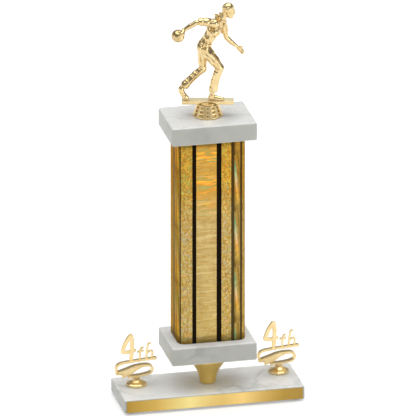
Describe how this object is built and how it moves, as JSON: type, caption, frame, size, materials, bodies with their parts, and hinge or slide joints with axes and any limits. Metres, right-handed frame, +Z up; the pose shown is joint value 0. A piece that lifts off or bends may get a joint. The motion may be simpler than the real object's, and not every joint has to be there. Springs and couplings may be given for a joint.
{
  "type": "bowling trophy",
  "caption": "Tall trophy with a gold bowler on a swivelling pedestal, a patterned column between marble slabs, a flared riser and a long marble base with numeral trims.",
  "frame": {"origin": "on the table plane, under the axis of the tie rod, which stands over the middle of the base", "axes": "+Z up along the tie rod, +X to the right end of the base as seen from the front, -Y towards the front, which carries the engraving plate"},
  "size_m": [0.2222, 0.0772, 0.4929],
  "materials": {
    "white_marble": "polished",
    "pad_rubber": "matte",
    "satin_brass": "satin",
    "adhesive": "matte",
    "riser_gold": "gloss",
    "column_film": "gloss",
    "plug_plastic": "matte",
    "zinc_steel": "satin",
    "figure_gold": "gloss",
    "trim_gold": "satin"
  },
  "bodies": {
    "stand": {"base_slab": "white_marble", "foot_pad_front_left": "pad_rubber", "foot_pad_front_right": "pad_rubber", "foot_pad_back_left": "pad_rubber", "foot_pad_back_right": "pad_rubber", "engraving_plate": "satin_brass", "plate_adhesive": "adhesive", "riser": "riser_gold", "lower_column_slab": "white_marble", "column_shell": "column_film", "column_plug_lower": "plug_plastic", "column_plug_upper": "plug_plastic", "top_slab": "white_marble", "tie_rod": "zinc_steel", "base_nut": "zinc_steel", "base_lock_washer": "zinc_steel", "base_washer": "zinc_steel"},
    "figure": {"figure_pedestal": "figure_gold", "figure_plate": "figure_gold", "bowler": "figure_gold", "bowling_ball": "figure_gold", "figure_nut": "zinc_steel"},
    "left_trim": {"left_trim_foot": "trim_gold", "left_trim_ribbon": "trim_gold", "left_trim_screw": "zinc_steel", "left_trim_washer": "zinc_steel"},
    "right_trim": {"right_trim_foot": "trim_gold", "right_trim_ribbon": "trim_gold", "right_trim_screw": "zinc_steel", "right_trim_washer": "zinc_steel"}
  },
  "joints": [
    {"name": "figure_swivel", "type": "hinge", "parent": "stand", "child": "figure", "pos_m": [0, 0, 0.3532], "axis": [0, 0, 1], "range_deg": [-180, 180]},
    {"name": "left_trim_swivel", "type": "hinge", "parent": "stand", "child": "left_trim", "pos_m": [-0.0838, 0.0086, 0.0191], "axis": [0, 0, 1], "range_deg": [-180, 180]},
    {"name": "right_trim_swivel", "type": "hinge", "parent": "stand", "child": "right_trim", "pos_m": [0.088, 0.012, 0.0191], "axis": [0, 0, 1], "range_deg": [-180, 180]}
  ]
}
